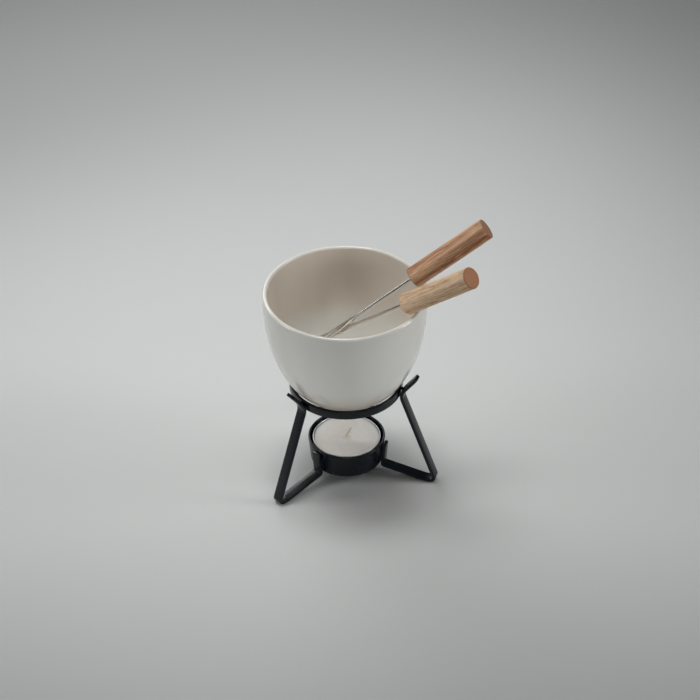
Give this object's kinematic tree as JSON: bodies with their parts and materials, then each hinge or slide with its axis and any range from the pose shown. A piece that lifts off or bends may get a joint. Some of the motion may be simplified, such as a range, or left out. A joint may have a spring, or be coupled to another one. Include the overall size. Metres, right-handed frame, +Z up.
{
  "type": "fondue pot set",
  "caption": "White ceramic fondue bowl resting in a black steel hoop stand over a tealight cup, with two wooden-handled forks leaning in the bowl.",
  "frame": {"origin": "on the pot's axis, in the plane of the table under the three feet", "axes": "+Z up along the pot's axis, +Y through the rear leg, +X to the right, where the fork handles lean"},
  "size_m": [0.1284, 0.11, 0.1605],
  "materials": {
    "pot_glaze": "satin glaze",
    "stand_coating": "satin black powder coat",
    "shell_aluminium": "pressed foil",
    "candle_wax": "smooth wax",
    "sustainer_tinplate": "tinned",
    "wick_cotton": "waxed cotton",
    "fork_steel": "polished stainless",
    "rear_handle_wood": "oiled, strong grain",
    "front_handle_wood": "oiled, pale grain"
  },
  "bodies": {
    "stand": {"support_hoop": "stand_coating", "rear_leg": "stand_coating", "left_leg": "stand_coating", "right_leg": "stand_coating", "candle_cup": "stand_coating"},
    "pot_body": {"pot": "pot_glaze"},
    "tealight": {"tealight_shell": "shell_aluminium", "tealight_wax": "candle_wax", "wick_sustainer": "sustainer_tinplate", "tealight_wick": "wick_cotton"},
    "rear_fork": {"rear_fork_shaft": "fork_steel", "rear_fork_handle": "rear_handle_wood"},
    "front_fork": {"front_fork_shaft": "fork_steel", "front_fork_handle": "front_handle_wood"}
  },
  "joints": [
    {"name": "pot_lift", "type": "slide", "parent": "stand", "child": "pot_body", "axis": [0, 0, 1], "range_m": [0, 0.03]},
    {"name": "tealight_lift", "type": "slide", "parent": "stand", "child": "tealight", "axis": [0, 0, 1], "range_m": [0, 0.018]},
    {"name": "rear_fork_draw", "type": "slide", "parent": "pot_body", "child": "rear_fork", "axis": [0.7923, -0.1039, 0.6012], "range_m": [0, 0.105]},
    {"name": "front_fork_draw", "type": "slide", "parent": "pot_body", "child": "front_fork", "axis": [0.5588, -0.5467, 0.6236], "range_m": [0, 0.105]}
  ]
}
